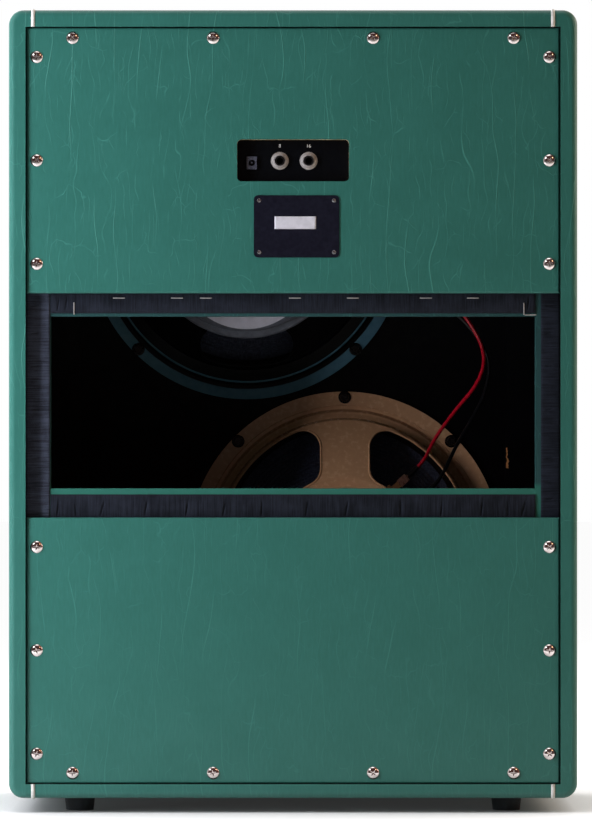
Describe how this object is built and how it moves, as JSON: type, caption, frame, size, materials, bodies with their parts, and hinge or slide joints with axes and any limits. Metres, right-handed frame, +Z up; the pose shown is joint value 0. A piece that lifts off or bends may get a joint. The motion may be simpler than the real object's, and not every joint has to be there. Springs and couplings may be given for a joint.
{
  "type": "guitar speaker cabinet",
  "caption": "Tall open-backed guitar speaker cabinet in green vinyl, with fixed back panels above and below, a recessed jack plate and sprung cones in pressed steel baskets.",
  "frame": {"origin": "middle of the footprint, on the floor under the rubber feet", "axes": "+Z up; -Y out of the back, the pictured side; +Y out of the grille; +X to the right as seen from the back"},
  "size_m": [0.536, 0.3022, 0.7575],
  "materials": {
    "green_vinyl": "crinkled vinyl, satin",
    "plywood": "plywood, painted black inside",
    "panel_plywood": "bare birch plywood",
    "black_wood": "painted black",
    "white_piping": "smooth",
    "black_rubber": "matte",
    "zinc_screws": "zinc plated",
    "chrome_screws": "polished",
    "seal_cloth": "short-pile cloth",
    "black_plate": "satin black",
    "black_screws": "black oxide",
    "black_plastic": "moulded, matte",
    "bright_rivets": "bare",
    "grille_cloth": "woven",
    "blue_grey_steel": "satin paint",
    "tan_steel": "satin paint",
    "gasket_board": "matte",
    "treated_cloth": "treated cloth",
    "cone_paper": "ribbed, matte",
    "coil_former": "brown former",
    "spider_cloth": "treated cloth",
    "plated_steel": "zinc plated",
    "ferrite": "ground, dull",
    "pale_label": "plain",
    "terminal_board": "phenolic board",
    "red_insulation": "smooth",
    "black_insulation": "smooth",
    "tinned_brass": "tinned"
  },
  "bodies": {
    "cabinet": {"baffle_board": "black_wood", "baffle_cleats": "black_wood", "black_screws": "black_screws", "bottom_board": "plywood", "bottom_covering": "green_vinyl", "cleat_wraps": "green_vinyl", "dc_socket": "black_plastic", "foot_screws": "zinc_screws", "grille_cloth": "grille_cloth", "grille_frame": "black_wood", "grille_pads": "seal_cloth", "input_jack": "black_plastic", "jack_nuts": "chrome_screws", "jack_plate": "black_plate", "left_covering": "green_vinyl", "left_handle_cup": "black_plastic", "left_side_board": "plywood", "link_jack": "black_plastic", "lower_back_panel": "panel_plywood", "lower_basket": "tan_steel", "lower_black_wire": "black_insulation", "lower_brace": "black_wood", "lower_magnet": "ferrite", "lower_panel_covering": "green_vinyl", "lower_red_wire": "red_insulation", "lower_spider": "spider_cloth", "lower_surround": "treated_cloth", "magnet_label": "pale_label", "magnet_yokes": "plated_steel", "panel_cleats": "black_wood", "panel_screws": "chrome_screws", "plate_rivets": "bright_rivets", "rating_plate": "black_plate", "right_covering": "green_vinyl", "right_handle_cup": "black_plastic", "right_side_board": "plywood", "rubber_feet": "black_rubber", "seal_strips": "seal_cloth", "spade_terminals": "tinned_brass", "speaker_bolts": "zinc_screws", "speaker_gaskets": "gasket_board", "terminal_strips": "terminal_board", "top_board": "plywood", "top_covering": "green_vinyl", "top_plates": "plated_steel", "upper_back_panel": "panel_plywood", "upper_basket": "blue_grey_steel", "upper_brace": "black_wood", "upper_magnet": "ferrite", "upper_panel_covering": "green_vinyl", "upper_spider": "spider_cloth", "upper_surround": "treated_cloth", "upper_wires": "black_insulation", "white_piping": "white_piping"},
    "upper_cone_assembly": {"upper_cone": "cone_paper", "upper_dust_cap": "cone_paper", "upper_voice_coil": "coil_former"},
    "lower_cone_assembly": {"lower_cone": "cone_paper", "lower_dust_cap": "cone_paper", "lower_voice_coil": "coil_former"}
  },
  "joints": [
    {"name": "upper_cone_travel", "type": "slide", "parent": "cabinet", "child": "upper_cone_assembly", "axis": [0, 1, 0], "range_m": [-0.004, 0.004], "stiffness_N_per_m": 8000, "deforming": ["upper_surround", "upper_spider"]},
    {"name": "lower_cone_travel", "type": "slide", "parent": "cabinet", "child": "lower_cone_assembly", "axis": [0, 1, 0], "range_m": [-0.004, 0.004], "stiffness_N_per_m": 8000, "deforming": ["lower_surround", "lower_spider"]}
  ]
}
